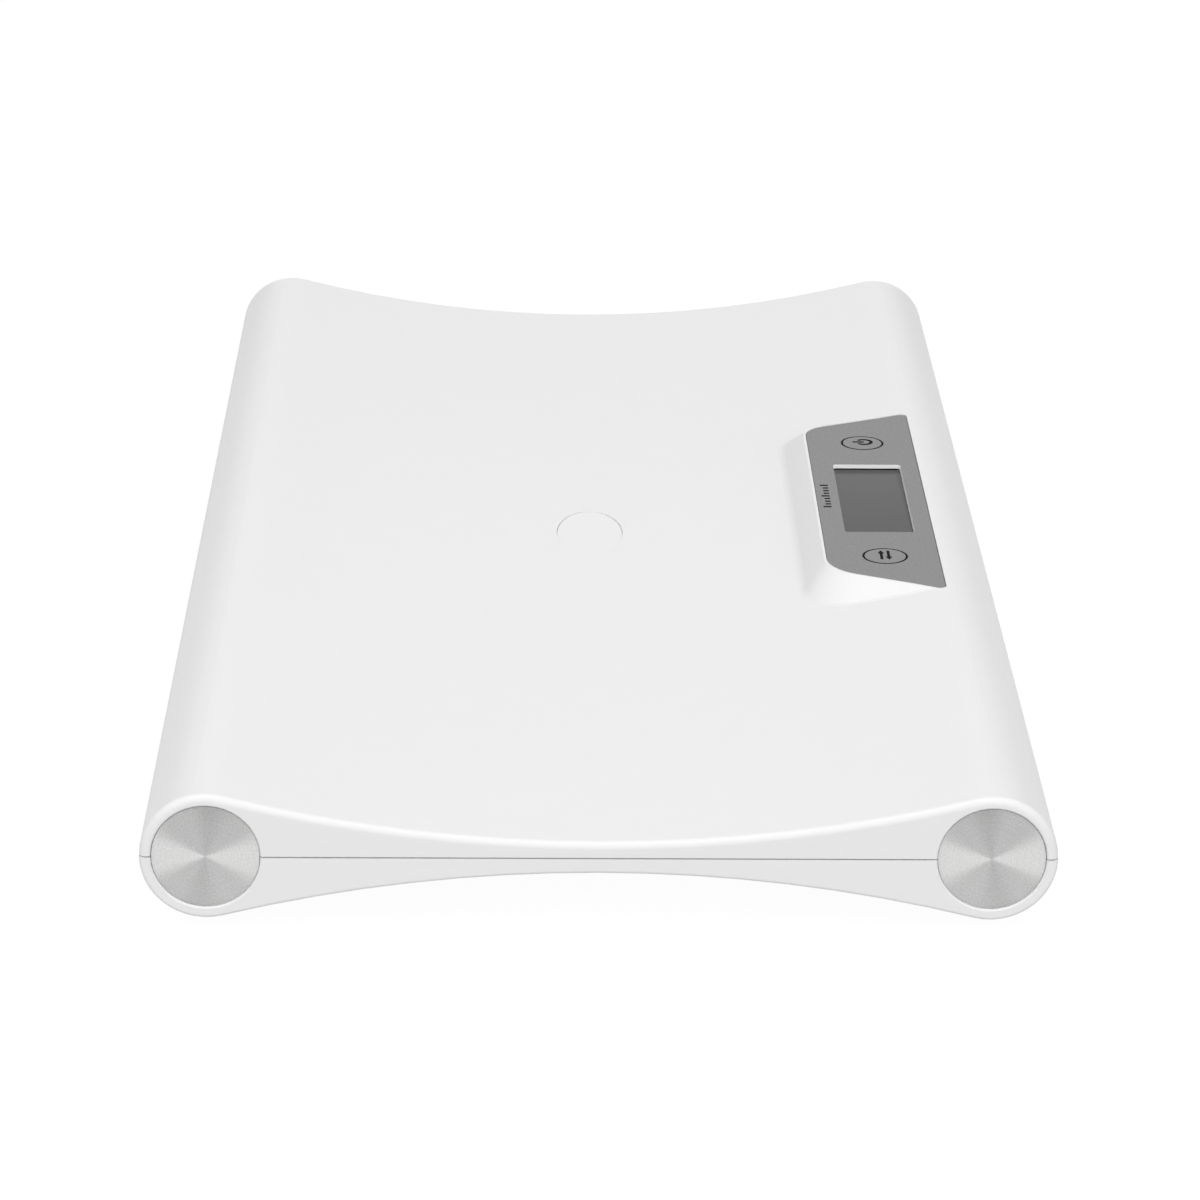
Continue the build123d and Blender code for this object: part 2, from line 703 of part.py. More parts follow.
# ---- end caps and badge -------------------------------------------------------------------
end_caps = {}
for corner, (sx, sy) in corners.items():
    with BuildPart() as end_cap:
        with BuildSketch(Plane.YZ.offset(sx * cap_back_x)):
            with Locations((sy * roll_y, mid - cap_drop)):
                Circle(cap_radius)
        extrude(amount=sx * cap_thickness)
        rims = end_cap.edges().filter_by(GeomType.CIRCLE).sort_by(Axis.X)
        chamfer(rims[-1] if sx > 0 else rims[0], cap_chamfer)
    end_caps[corner] = end_cap.part

with BuildPart() as end_cap_pads:
    for end in (-1, 1):
        with BuildSketch(Plane.YZ.offset(end * cap_seat_x)):
            with Locations((-roll_y, mid), (roll_y, mid)):
                Circle(cap_pad_radius)
        extrude(amount=end * cap_pad_thickness)

with BuildPart() as centre_badge:
    with BuildSketch(Plane.XY.offset(mid + centre_half - badge_recess)):
        with Locations((badge_x, 0)):
            Ellipse(badge_length / 2, badge_width / 2)
    extrude(amount=badge_thickness)
    fillet(centre_badge.edges().group_by(Axis.Z)[-1], badge_fillet)

# ---- bezel plate and display --------------------------------------------------------------
with BuildPart() as display_panel:
    extrude(panel_outline(h_panel_bottom, 0), amount=panel_thickness)
    # Window, wider at the face
    for height, grow in ((h_panel_bottom, -window_bevel), (h_panel, 0)):
        with BuildSketch(Plane.XY.offset(mid + height)):
            with Locations((panel_x, key_line_y)):
                RectangleRounded(window_length + 2 * grow, window_width + 2 * grow, window_corner)
    loft(mode=Mode.SUBTRACT)
    with BuildSketch(Plane.XY.offset(mid + h_panel_bottom)):
        with Locations(*[(x, key_line_y) for x in key_x.values()]):
            Circle(key_radius + key_hole_gap)
    extrude(amount=panel_thickness, mode=Mode.SUBTRACT)

with BuildPart() as panel_adhesive:
    extrude(panel_outline(h_pocket, -adhesive_inset), amount=adhesive_thickness)
    with BuildSketch(Plane.XY.offset(mid + h_pocket)):
        with Locations((panel_x, key_line_y)):
            Rectangle(glass_length + 2 * opening_margin, glass_width + 2 * opening_margin)
        with Locations(*[(x, key_line_y) for x in key_x.values()]):
            Circle(key_radius + opening_margin)
    extrude(amount=adhesive_thickness, mode=Mode.SUBTRACT)

with BuildPart() as lcd_glass:
    with BuildSketch(Plane.XY.offset(mid + h_glass_bottom)):
        with Locations((panel_x, key_line_y)):
            Rectangle(glass_length, glass_width)
    extrude(amount=glass_thickness)

with BuildPart() as lcd_polarizer:
    with BuildSketch(Plane.XY.offset(mid + h_glass_top)):
        with Locations((panel_x - film_border_x / 2, key_line_y + film_border_y / 2)):
            Rectangle(
                window_length + 2 * film_margin - film_border_x,
                window_width + 2 * film_margin - film_border_y,
                rotation=film_turn,
            )
    extrude(amount=polarizer_thickness)

with BuildPart() as lcd_holder:
    with BuildSketch(Plane.XY.offset(mid + h_board_top)):
        with Locations((panel_x, key_line_y)):
            Rectangle(holder_length, holder_width)
    extrude(amount=h_holder_top - h_board_top)
    with BuildSketch(Plane.XY.offset(mid + h_glass_bottom)):
        with Locations((panel_x, key_line_y)):
            Rectangle(glass_length + 2 * holder_gap, glass_width + 2 * holder_gap)
    extrude(amount=through, mode=Mode.SUBTRACT)
    with BuildSketch(Plane.XY.offset(mid + h_board_top)):
        with Locations((panel_x, key_line_y)):
            Rectangle(glass_length - 2 * holder_frame, glass_width - 2 * holder_frame)
        with Locations((panel_x, key_line_y - zebra_offset), (panel_x, key_line_y + zebra_offset)):
            Rectangle(zebra_length + 2 * holder_gap, zebra_width + 2 * holder_gap)
    extrude(amount=h_glass_bottom - h_board_top, mode=Mode.SUBTRACT)

with BuildPart() as zebra_strips:
    with BuildSketch(Plane.XY.offset(mid + h_board_top)):
        with Locations((panel_x, key_line_y - zebra_offset), (panel_x, key_line_y + zebra_offset)):
            Rectangle(zebra_length, zebra_width)
    extrude(amount=h_glass_bottom - h_board_top)

# ---- circuit board ------------------------------------------------------------------------
with BuildPart() as main_board:
    with BuildSketch(Plane.XY.offset(mid + h_board_bottom)):
        with Locations((panel_x, board_y)):
            RectangleRounded(board_length, board_width, board_corner)
        with Locations(*board_screws_at):
            Circle(board_screw_radius + screw_clearance, mode=Mode.SUBTRACT)
    extrude(amount=board_thickness)

with BuildPart() as controller_chip:
    with BuildSketch(Plane.XY.offset(mid + h_board_top + chip_stand_off)):
        with Locations((panel_x, key_line_y)):
            Rectangle(chip_side, chip_side)
    extrude(amount=chip_height)
    chamfer(controller_chip.edges().group_by(Axis.Z)[-1], chip_chamfer)
    # Legs on four sides
    with BuildSketch(Plane.XY.offset(mid + h_board_top)):
        with Locations((panel_x, key_line_y)):
            with GridLocations(leg_pitch, chip_side + leg_reach, leg_count, 2):
                Rectangle(leg_width, leg_reach + leg_width)
            with GridLocations(chip_side + leg_reach, leg_pitch, 2, leg_count):
                Rectangle(leg_reach + leg_width, leg_width)
    extrude(amount=leg_height)

# Resistors and small capacitors in rows on the underside, and two round capacitors beside them
with BuildPart() as board_components:
    with BuildSketch(Plane.XY.offset(mid + h_board_bottom)):
        with Locations((panel_x, component_y)):
            with GridLocations(*component_grid):
                Rectangle(component_size[0], component_size[1])
    extrude(amount=-component_size[2])
    with BuildSketch(Plane.XY.offset(mid + h_board_bottom)):
        with Locations((panel_x + capacitor_x, capacitor_y), (panel_x - capacitor_x, capacitor_y)):
            Circle(capacitor_radius)
    extrude(amount=-capacitor_height)

with BuildPart() as board_connectors:
    for way in (-1, 1):
        for y in (rear_plug_y, front_plug_y):
            with BuildSketch(Plane.XY.offset(mid + h_board_bottom)):
                with Locations((panel_x + way * connector_x, y)):
                    Rectangle(connector_length, connector_width)
            extrude(amount=-connector_height)
    with BuildSketch(Plane.XY.offset(mid + h_board_bottom)):
        with Locations((battery_plug_x + connector_length / 2, battery_plug_y)):
            Rectangle(connector_length, connector_width)
    extrude(amount=-connector_height)

# ---- keys and their switches --------------------------------------------------------------
keys = {}
plungers = {}
switch_bodies = {}
for key, x in key_x.items():
    with BuildPart() as key_cap:
        with BuildSketch(Plane.XY.offset(mid + h_key_bottom)):
            with Locations((x, key_line_y)):
                Circle(key_flange)
        extrude(amount=key_flange_thickness)
        with BuildSketch(Plane.XY.offset(mid + h_key_bottom)):
            with Locations((x, key_line_y)):
                Circle(key_radius)
        extrude(amount=h_panel + key_stand - h_key_bottom)
        fillet(key_cap.edges().group_by(Axis.Z)[-1], key_edge)
        with BuildSketch(Plane.XY.offset(mid + h_plunger_top)):
            with Locations((x, key_line_y)):
                Circle(key_stem)
        extrude(amount=h_key_bottom - h_plunger_top)
    keys[key] = key_cap.part
    with BuildPart() as plunger:
        with BuildSketch(Plane.XY.offset(mid + h_switch_top - plunger_depth)):
            with Locations((x, key_line_y)):
                Circle(plunger_radius)
        extrude(amount=h_plunger_top - h_switch_top + plunger_depth)
    plungers[key] = plunger.part
    with BuildPart() as switch_body:
        with BuildSketch(Plane.XY.offset(mid + h_board_top)):
            with Locations((x, key_line_y)):
                Rectangle(switch_side, switch_side)
        extrude(amount=switch_height)
        with BuildSketch(Plane.XY.offset(mid + h_board_top + switch_floor)):
            with Locations((x, key_line_y)):
                Circle(plunger_radius + plunger_gap)
        extrude(amount=switch_height, mode=Mode.SUBTRACT)
        # Legs that clip into the board's edge pads
        with BuildSketch(Plane.XY.offset(mid + h_board_top)):
            with Locations((x, key_line_y)):
                with GridLocations(switch_side + switch_leg[0] / 2, switch_side / 2, 2, 2):
                    Rectangle(switch_leg[0], switch_leg[1])
        extrude(amount=switch_leg[2])
    switch_bodies[key] = switch_body.part

# ---- load cells, their brackets and the feet ----------------------------------------------
load_cells = {}
brackets = {}
foot_cups = {}
foot_pads = {}
for corner, (sx, sy) in corners.items():
    x = sx * foot_x
    y = sy * roll_y
    with BuildPart() as load_cell:
        with BuildSketch(Plane.XY.offset(mid + h_cell_bottom)):
            with Locations((x, y)):
                RectangleRounded(cell_side, cell_side, cell_corner)
            # Three-sided slot that frees the middle tongue
            with BuildLine():
                Polyline(
                    (x - tongue_half_x, y + tongue_half_y),
                    (x - tongue_half_x, y - tongue_half_y),
                    (x + tongue_half_x, y - tongue_half_y),
                    (x + tongue_half_x, y + tongue_half_y),
                )
            trace(line_width=cell_slot, mode=Mode.SUBTRACT)
            with Locations((x, y)):
                Circle(foot_pin + foot_pin_gap, mode=Mode.SUBTRACT)
        extrude(amount=cell_thickness)
    load_cells[corner] = load_cell.part
    with BuildPart() as bracket:
        # Rim that bears on the cell's frame
        with BuildSketch(Plane.XY.offset(mid + h_cell_top)):
            with Locations((x, y)):
                Rectangle(cell_side, cell_side)
                Rectangle(cell_side - 2 * bracket_rim, cell_side - 2 * bracket_rim, mode=Mode.SUBTRACT)
        extrude(amount=-bracket_plate - h_cell_top)
        # Plate that is screwed up under the top shell
        with BuildSketch(Plane.XY.offset(mid - bracket_plate)):
            with Locations((x, y)):
                RectangleRounded(bracket_length, cell_side, bracket_corner)
            with Locations((x - bracket_screw, y), (x + bracket_screw, y)):
                Circle(board_screw_radius + screw_clearance, mode=Mode.SUBTRACT)
        extrude(amount=bracket_plate + split_gap / 2)
        # Hooks under the cell's frame
        for way in (-1, 1):
            with BuildSketch(Plane.XZ.offset(-y - hook_half_y)):
                with BuildLine():
                    Polyline(
                        (x + way * hook_inner, mid - bracket_plate),
                        (x + way * (hook_inner + hook_thickness), mid - bracket_plate),
                        (x + way * (hook_inner + hook_thickness), mid + h_hook_top - hook_lip),
                        (x + way * (cell_side / 2 - hook_reach), mid + h_hook_top - hook_lip),
                        (x + way * (cell_side / 2 - hook_reach), mid + h_hook_top),
                        (x + way * hook_inner, mid + h_hook_top),
                        close=True,
                    )
                make_face()
            extrude(amount=2 * hook_half_y)
    brackets[corner] = bracket.part
    with BuildPart() as foot_cup:
        steps = (
            (foot_radius, foot_floor_gap, foot_shoulder_z),
            (foot_neck, foot_shoulder_z, foot_neck_z),
            (foot_stem, foot_neck_z, mid + h_cell_bottom),
            (foot_pin, mid + h_cell_bottom, mid + h_cell_top),
            (foot_barb, mid + h_cell_top, mid + h_cell_top + foot_barb_height),
        )
        for radius, low, high in steps:
            with BuildSketch(Plane.XY.offset(low)):
                with Locations((x, y)):
                    Circle(radius)
            extrude(amount=high - low)
        fillet(foot_cup.edges().filter_by(GeomType.CIRCLE).sort_by(Axis.Z)[0], foot_rim_fillet)
        with BuildSketch(Plane.XY):
            with Locations((x, y)):
                Circle(pad_radius + pad_gap)
        extrude(amount=pad_thickness, mode=Mode.SUBTRACT)
    foot_cups[corner] = foot_cup.part
    with BuildPart() as foot_pad:
        with BuildSketch(Plane.XY):
            with Locations((x, y)):
                Circle(pad_radius)
        extrude(amount=pad_thickness)
        chamfer(foot_pad.edges().filter_by(GeomType.CIRCLE).sort_by(Axis.Z)[0], pad_chamfer)
    foot_pads[corner] = foot_pad.part

# Gauge film on the tongue of each cell
with BuildPart() as strain_gauges:
    with BuildSketch(Plane.XY.offset(mid + h_cell_top)):
        with Locations(*[(x, y + gauge_y) for x, y in feet_at]):
            Rectangle(gauge_length, gauge_width)
    extrude(amount=gauge_thickness)

# ---- batteries, contacts and door ---------------------------------------------------------
door_inner_y = bay_inner_y - door_edge_gap
door_outer_y = bay_outer_y + door_gap
cells_at = [battery_y + step * battery_pitch for step in (1, 0, -1)]
batteries = []
for index, y in enumerate(cells_at):
    nub_way = 1 if index % 2 == 0 else -1
    flat_x = -nub_way * battery_length / 2
    with BuildPart() as battery:
        with BuildSketch(Plane.YZ.offset(flat_x)):
            with Locations((y, mid + h_battery)):
                Circle(battery_radius)
        extrude(amount=nub_way * (battery_length - battery_nub))
        fillet(battery.edges().filter_by(GeomType.CIRCLE), battery_fillet)
        with BuildSketch(Plane.YZ.offset(flat_x)):
            with Locations((y, mid + h_battery)):
                Circle(battery_nub_radius)
        extrude(amount=nub_way * battery_length)
    batteries.append(battery.part)

# Leaf contact in front of each end of each cell: up the bulkhead, then bowed towards the cell
contact_back_x = bay_bulkhead - contact_thickness / 2
contact_bow_x = battery_length / 2 + contact_thickness
contact_tip_x = contact_back_x - 3 * contact_thickness
with BuildPart() as battery_contacts:
    for way in (-1, 1):
        for y in cells_at:
            with BuildSketch(Plane.XZ.offset(-y - contact_half_y)):
                with BuildLine():
                    Polyline(
                        (way * contact_back_x, mid + h_battery + battery_radius),
                        (way * contact_back_x, mid + h_battery - contact_low_share * battery_radius),
                        (way * contact_bow_x, mid + h_battery),
                        (way * contact_tip_x, mid + h_battery + contact_high_share * battery_radius),
                    )
                trace(line_width=contact_thickness)
            extrude(amount=2 * contact_half_y)

with BuildPart() as battery_door:
    # Plate that carries on the underside's curve
    door_half_x = bay_half_x - door_gap
    extrude(body_section(-1, 2 * overlap), amount=door_half_x, both=True)
    extrude(body_section(-1, overlap, door_thickness), amount=door_half_x, both=True, mode=Mode.SUBTRACT)
    with Locations((0, (door_inner_y + door_outer_y) / 2, mid)):
        Box(2 * bay_half_x, door_inner_y - door_outer_y, 4 * roll_radius, mode=Mode.INTERSECT)
    # Arms that reach round the pin
    for way in (-1, 1):
        with BuildSketch(Plane.YZ.offset(way * hinge_arm_inner)):
            with Locations((hinge_y, mid + h_hinge)):
                Circle(hinge_radius)
            with Locations((hinge_y, mid + h_hinge - hinge_radius)):
                Rectangle(door_outer_y - hinge_y + arm_overlap, arm_thickness, align=(Align.MIN, Align.MIN))
        extrude(amount=way * (hinge_arm_outer - hinge_arm_inner))
    with BuildSketch(Plane.YZ.offset(-pin_half)):
        with Locations((hinge_y, mid + h_hinge)):
            Circle(pin_radius + arm_bore_gap)
    extrude(amount=2 * pin_half, mode=Mode.SUBTRACT)
    # Opening for the snap latch
    with Locations((0, door_inner_y, mid - roll_radius / 2)):
        Box(2 * (latch_half + latch_notch_gap), 2 * latch_notch, roll_radius, mode=Mode.SUBTRACT)
    add(body_form.part, mode=Mode.INTERSECT)

with BuildPart() as battery_door_pin:
    with BuildSketch(Plane.YZ.offset(-pin_half)):
        with Locations((hinge_y, mid + h_hinge)):
            Circle(pin_radius)
    extrude(amount=2 * pin_half)

# Bent spring tongue with a tooth that hooks over the shell, and a thumb edge outside
latch_leg_y = door_inner_y - latch_thickness / 2 - latch_door_gap
with BuildPart() as battery_door_latch:
    with BuildSketch(Plane.YZ.offset(-latch_half)):
        with BuildLine():
            FilletPolyline(
                (latch_leg_y - latch_width, mid + h_latch_root),
                (latch_leg_y - latch_width, mid + h_latch_top),
                (latch_leg_y, mid + h_latch_top),
                (latch_leg_y, mid + h_latch_tip),
                radius=latch_bend,
            )
        trace(line_width=latch_thickness)
        with BuildLine():
            Polyline(
                (latch_leg_y, mid + h_tooth_bottom),
                (latch_leg_y + tooth_reach, mid + h_tooth_bottom),
                (latch_leg_y, mid + h_tooth_top),
                close=True,
            )
        make_face()
        with Locations((latch_leg_y, mid + h_latch_tip)):
            Rectangle(latch_width - latch_thickness, latch_thickness, align=(Align.MAX, Align.MIN))
    extrude(amount=2 * latch_half)

# ---- leads --------------------------------------------------------------------------------
cell_edge_x = foot_x - cell_side / 2
cell_exit_y = roll_y - lead_exit_y
h_connector = h_board_bottom - connector_height / 2
h_cell_middle = h_cell_bottom + cell_thickness / 2
leads = {}
for corner, (sx, sy) in corners.items():
    connector_mid = panel_x + sx * connector_x
    if sy < 0:
        plug_x = connector_mid + sx * connector_length / 2
        route_points = [
            (sx * cell_edge_x, -cell_exit_y, mid + h_cell_middle),
            (sx * (cell_edge_x - lead_start), -cell_exit_y, mid + h_cell_middle),
            (sx * 216.0, -115.5, mid - 6.8),
            (sx * 188.0, -112.5, mid - 6.0),
            (sx * 150.0, -111.5, mid - 4.0),
            (sx * 112.0, -113.5, mid - 0.5),
            (sx * 86.0, -117.0, mid + 4.0),
            (plug_x + sx * plug_run, front_plug_y, mid + h_connector),
            (plug_x, front_plug_y, mid + h_connector),
        ]
    else:
        plug_x = connector_mid - sx * connector_length / 2
        route_points = [
            (sx * cell_edge_x, cell_exit_y, mid + h_cell_middle),
            (sx * (cell_edge_x - lead_start), cell_exit_y, mid + h_cell_middle),
            (sx * 216.0, 115.5, mid - 6.8),
            (sx * 184.0, 112.0, mid - 6.0),
            (sx * 140.0, 111.5, mid - 5.5),
            (sx * 98.0, 112.5, mid - 5.0),
            (sx * 66.0, 109.0, mid - 4.4),
            (sx * 47.0, 90.0, mid - 2.4),
            (sx * 42.0, 50.0, mid - 0.4),
            (sx * 42.6, 2.0, mid),
            (sx * 41.6, -42.0, mid + 0.4),
            (sx * 42.0, -74.0, mid + 1.8),
            (sx * 42.8, -90.0, mid + 4.4),
            (plug_x - sx * plug_approach, -99.5, mid + 5.7),
            (plug_x - sx * plug_run, rear_plug_y, mid + h_connector),
            (plug_x, rear_plug_y, mid + h_connector),
        ]
    leads[corner] = make_lead(corner, route_points, lead_diameter)

# The two battery leads start at the contacts' tabs above the bay.
h_tab = h_bay_ceiling + pocket_floor + contact_tab
battery_routes = {
    "battery positive": [
        (24.0, cells_at[2], mid + h_tab),
        (21.5, -108.6, mid + 4.8),
        (22.6, -102.4, mid + 5.8),
        (25.6, battery_plug_y - battery_plug_pole, mid + h_connector),
        (battery_plug_x, battery_plug_y - battery_plug_pole, mid + h_connector),
    ],
    "battery negative": [
        (-24.0, cells_at[0], mid + h_tab),
        (-8.0, -91.5, mid + 4.8),
        (9.0, -92.2, mid + 5.7),
        (22.0, battery_plug_y + battery_plug_pole, mid + h_connector),
        (battery_plug_x, battery_plug_y + battery_plug_pole, mid + h_connector),
    ],
}
with BuildPart() as battery_leads:
    for name, route_points in battery_routes.items():
        add(make_lead(name, route_points, battery_lead_diameter))

# ---- fasteners ----------------------------------------------------------------------------
with BuildPart() as housing_screws:
    for places, h_seat, h_tip in (
        (shell_screws_at, h_head_seat, h_screw_top),
        (end_screws_at, h_end_seat, h_end_top),
    ):
        with BuildSketch(Plane.XY.offset(mid + h_seat)):
            with Locations(*places):
                Circle(head_radius)
        extrude(amount=-head_height)
        with BuildSketch(Plane.XY.offset(mid + h_seat)):
            with Locations(*places):
                Circle(screw_radius)
        extrude(amount=h_tip - h_seat)
        with BuildSketch(Plane.XY.offset(mid + h_seat - head_height)):
            with Locations(*places):
                Rectangle(recess_length, recess_width)
                Rectangle(recess_width, recess_length)
        extrude(amount=recess_depth, mode=Mode.SUBTRACT)

with BuildPart() as board_screws:
    with BuildSketch(Plane.XY.offset(mid + h_board_bottom)):
        with Locations(*board_screws_at):
            Circle(board_head_radius)
    extrude(amount=-board_head_height)
    with BuildSketch(Plane.XY.offset(mid + h_board_bottom)):
        with Locations(*board_screws_at):
            Circle(board_screw_radius)
    extrude(amount=h_board_screw_top - h_board_bottom)

with BuildPart() as bracket_screws:
    with BuildSketch(Plane.XY.offset(mid - bracket_plate)):
        with Locations(*bracket_screws_at):
            Circle(bracket_head_radius)
    extrude(amount=-bracket_head_height)
    with BuildSketch(Plane.XY.offset(mid - bracket_plate)):
        with Locations(*bracket_screws_at):
            Circle(board_screw_radius)
    extrude(amount=h_bracket_screw_top + bracket_plate)

# ---- write one STEP file per piece --------------------------------------------------------
pieces = {
    "top_shell": top_shell.part,
    "bottom_shell": bottom_shell.part,
    "end_cap_pads": end_cap_pads.part,
    "centre_badge": centre_badge.part,
    "display_panel": display_panel.part,
    "panel_adhesive": panel_adhesive.part,
    "lcd_glass": lcd_glass.part,
    "lcd_polarizer": lcd_polarizer.part,
    "lcd_holder": lcd_holder.part,
    "zebra_strips": zebra_strips.part,
    "main_board": main_board.part,
    "controller_chip": controller_chip.part,
    "board_components": board_components.part,
    "board_connectors": board_connectors.part,
    "strain_gauges": strain_gauges.part,
    "battery_contacts": battery_contacts.part,
    "battery_leads": battery_leads.part,
    "battery_door": battery_door.part,
    "battery_door_pin": battery_door_pin.part,
    "battery_door_latch": battery_door_latch.part,
    "housing_screws": housing_screws.part,
    "board_screws": board_screws.part,
    "bracket_screws": bracket_screws.part,
}
for key in key_x:
    pieces[key + "_button"] = keys[key]
    pieces[key + "_switch_plunger"] = plungers[key]
    pieces[key + "_switch_body"] = switch_bodies[key]
for corner in corners:
    pieces["end_cap_" + corner] = end_caps[corner]
    pieces["load_cell_" + corner] = load_cells[corner]
    pieces["load_cell_bracket_" + corner] = brackets[corner]
    pieces["load_cell_lead_" + corner] = leads[corner]
    pieces["foot_cup_" + corner] = foot_cups[corner]
    pieces["foot_pad_" + corner] = foot_pads[corner]
for index, battery_part in enumerate(batteries, start=1):
    pieces["battery_cell_" + str(index)] = battery_part

for name, piece in pieces.items():
    piece.label = name
    export_step(piece, "parts/" + name + ".step")
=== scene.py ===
"""Looks of the digital baby weighing scale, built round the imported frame.

Metres. +X runs along the length, to the right of the person who reads the display; the display
is on the -Y side; +Z is up. The camera looks at the near end of the scale, which faces -X.
"""

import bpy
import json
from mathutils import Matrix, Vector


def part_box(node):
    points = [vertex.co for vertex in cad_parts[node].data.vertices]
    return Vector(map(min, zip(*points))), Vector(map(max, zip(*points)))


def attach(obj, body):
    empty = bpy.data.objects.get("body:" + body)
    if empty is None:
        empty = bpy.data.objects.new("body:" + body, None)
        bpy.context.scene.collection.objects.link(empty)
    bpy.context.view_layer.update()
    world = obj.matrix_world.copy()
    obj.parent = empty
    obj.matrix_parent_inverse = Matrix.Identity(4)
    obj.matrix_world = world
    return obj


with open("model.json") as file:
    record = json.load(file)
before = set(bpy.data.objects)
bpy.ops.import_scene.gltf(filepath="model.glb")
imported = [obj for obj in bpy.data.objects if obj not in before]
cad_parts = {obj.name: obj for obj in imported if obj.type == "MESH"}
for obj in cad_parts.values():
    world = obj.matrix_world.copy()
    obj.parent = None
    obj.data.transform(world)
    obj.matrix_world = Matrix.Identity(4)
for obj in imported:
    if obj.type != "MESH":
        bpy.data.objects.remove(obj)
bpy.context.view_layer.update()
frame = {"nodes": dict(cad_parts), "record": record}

import json
import math

import bmesh
import bpy
from mathutils import Matrix, Vector


# ---- values from the frame ----------------------------------------------------------------
def middle_and_top(name):
    """Middle and highest point of a node."""
    low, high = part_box(name)
    return (low[0] + high[0]) / 2, (low[1] + high[1]) / 2, high[2]


power_x, key_y, key_z = middle_and_top("power_button")
unit_x = middle_and_top("unit_button")[0]
window_x = (power_x + unit_x) / 2
panel_z = middle_and_top("display_panel")[2]

# ---- driving values -----------------------------------------------------------------------
mm = 0.001

# Camera, fitted to the outlines in the photograph
camera_place = (-1.75087, 0.02375, 0.65974)
camera_pitch = math.radians(20.468)
camera_yaw = math.radians(0.917)
camera_roll = math.radians(0.567)
camera_lens = 140.387
sensor_width = 36.0
nearest_seen = 0.1
farthest_seen = 50.0

# Light
world_level = 0.485     # from all round
front_level = 0.85      # added from straight in front of the near end
top_level = 0.23
top_place = (-0.5, 0.0, 2.7)
top_size = 1.5
side_level = 0.12
side_place = (-1.9, 1.5, 1.7)   # mirrored for the lamp on the other side
side_size = 2.2

# What metal and gloss see round the object; X and Y are parts of the direction they look in
room_level = 0.08       # dim room behind the camera
room_end = -0.2         # X at which the room starts to give way to the backdrop
backdrop_start = 0.4    # X from which the backdrop is white
backdrop_half = 0.15    # Y up to which it is white
backdrop_stop = 0.45    # Y at which it has fallen to the level beside it
beside_level = 0.4

# Floor
floor_half = 12.0
floor_pale = 0.95       # its colour in view
floor_shadow = 0.08     # how far a shadow can darken it in view
floor_end = -0.51       # X at which metal and gloss see it end
floor_fade = 0.1
floor_lit = 0.33        # how pale it is to the object
floor_glow = 0.15       # light that it gives to the underside

# Grain of the surfaces
noise_range = (0.3, 0.7)        # where most values of the noise lie
patch_breadth = 12              # of the patches of colour, in grains
roughness_spread = 0.04         # how far the grain moves the roughness, either way
relief_depth = 0.02 * mm
smooth_moulding = {"contrast": 0.006, "bump": 0.05, "specular": 0.3}
spun_rings = 110.0
spun_speckle = 1500.0
spun_shades = (0.78, 1.12)
spun_roughness = (0.38, 0.48)
spun_bump = 0.12
quarter_turn = 0.25             # sets the long axis of the gloss across the rings
blasted_grain = 2200.0
blasted_speckle = 1000.0
blasted_shades = (0.7, 1.3)

# Edges and sides of the bezel plate and its keys, which take a painted highlight and painted shade; a slope
# is the Z of a face's normal
bevel_slopes = (0.1, 0.8)
wall_slopes = (-0.1, 0.1)
key_face_slope = 0.95
key_face_depth = 0.5 * mm       # the flange of a key lies deeper than this
hole_reach = 10.0 * mm          # takes in the wall of a key hole
# Painted shade: a near-black ring on the plate round each key hole, where the gap's shade falls
shade_ring_reach = 8.85 * mm          # dark edge round a key hole

# Painted shade and reflection: the display is painted paler between these two, towards its far end
display_near = window_x - 40 * mm
display_far = window_x + 33 * mm
display_ior = 1.3

# Printed marks
ink_thickness = 0.05 * mm
stroke = 1.4 * mm
thin_stroke = 1.1 * mm
arc_steps = 48
power_at = (power_x + 1.2 * mm, key_y - 0.8 * mm)
power_ring = 3.0 * mm
power_ring_gap = 80             # degrees
power_bar = 4.7 * mm
unit_at = (unit_x + 1.0 * mm, key_y)
arrow_half = 4.8 * mm
arrow_apart = 1.4 * mm          # each arrow from the middle of the mark
arrow_head = 3.0 * mm
arrow_head_breadth = 2.6 * mm
arrow_tip = 0.3 * mm
tick_at = (window_x + 1.8 * mm, key_y + 17.2 * mm)
tick_pitch = 3.2 * mm
ticks_each_side = 4
long_tick_every = 4
long_tick = 3.2 * mm
short_tick = 2.2 * mm


# ---- colours, linear ----------------------------------------------------------------------
def grey(level):
    return (level, level, level, 1)


def shade(color, factor):
    """The same colour, paler or darker."""
    return tuple(channel * factor for channel in color[:3]) + (1,)


white = grey(1)
shell_white = grey(0.84)
# Bare cut edge of the bezel, painted near-white: partly its own paler colour, partly painted reflection in
# place of metal gloss
pale_edge_and_reflection = grey(0.85)
# Painted shade: near-black for the gaps round the keys, on the hole walls, the key sides and the key flange
painted_gap_shade = grey(0.012)
panel_grey = (0.218, 0.218, 0.222, 1)
dark_print = (0.012, 0.012, 0.013, 1)


# ---- shader nodes -------------------------------------------------------------------------
def feed(tree, target, inputs):
    """Fills a node's inputs, by name or number: links another node's output, sets a plain value."""
    for key, value in inputs.items():
        if isinstance(value, bpy.types.NodeSocket):
            tree.links.new(value, target.inputs[key])
        else:
            target.inputs[key].default_value = value


def node(tree, kind, inputs=(), **settings):
    """A new shader node."""
    made = tree.nodes.new(kind)
    for key, value in settings.items():
        setattr(made, key, value)
    feed(tree, made, dict(inputs))
    return made


def calculate(tree, operation, *values):
    """Math on plain numbers and outputs of nodes."""
    return node(tree, "ShaderNodeMath", enumerate(values), operation=operation).outputs[0]


def sum_of_squares(tree, first, second):
    squares = [calculate(tree, "MULTIPLY", value, value) for value in (first, second)]
    return calculate(tree, "ADD", *squares)


def axes(tree, space):
    """X, Y and Z of a texture coordinate."""
    place = node(tree, "ShaderNodeTexCoord")
    return node(tree, "ShaderNodeSeparateXYZ", {"Vector": place.outputs[space]}).outputs


